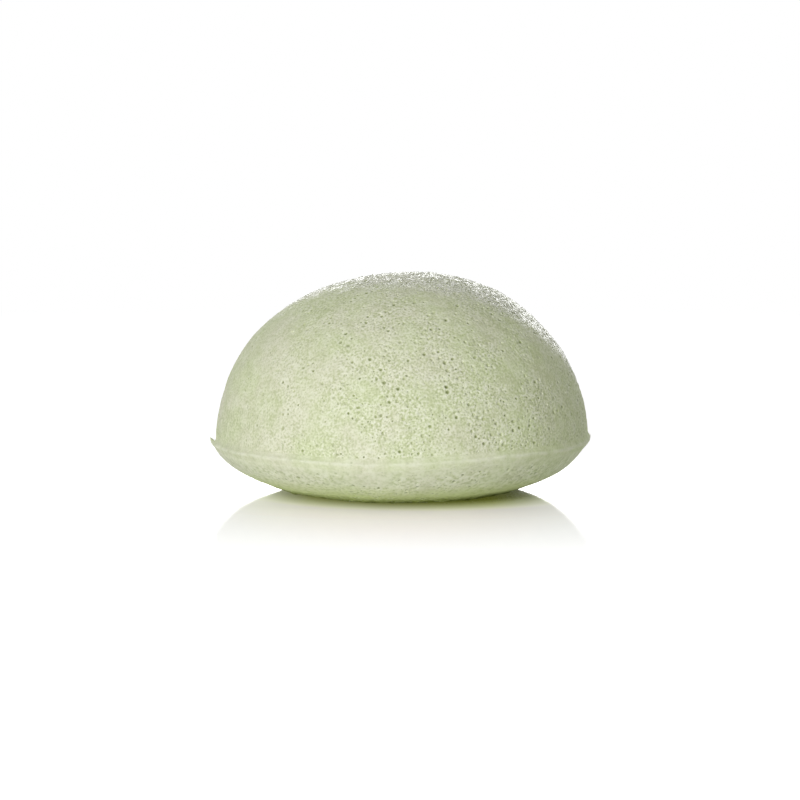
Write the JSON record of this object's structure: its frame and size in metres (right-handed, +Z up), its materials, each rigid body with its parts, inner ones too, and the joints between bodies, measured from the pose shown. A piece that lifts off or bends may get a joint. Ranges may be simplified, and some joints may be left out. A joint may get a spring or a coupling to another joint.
{
  "type": "konjac sponge",
  "caption": "Half-ball facial cleansing sponge of soft plant-fibre foam: pored domed top, shallow smooth underside with a flat foot, and a thin moulding fin round the parting line.",
  "frame": {"origin": "centre of the flat foot, on the surface that the sponge stands on", "axes": "+Z up along the dome's axis; the picture looks along +Y with +X to the right"},
  "size_m": [0.08, 0.08, 0.0457],
  "materials": {
    "dome_foam": "soft damp open-pored foam skin, pale green",
    "base_foam": "smoother foam skin with few pores, pale yellow-green",
    "fin_foam": "thin, pale, slightly ragged foam edge",
    "core_foam": "open-celled foam, paler than the skin"
  },
  "bodies": {
    "root": {"dome_skin": "dome_foam", "base_skin": "base_foam", "moulding_fin": "fin_foam", "foam_core": "core_foam"}
  },
  "joints": []
}
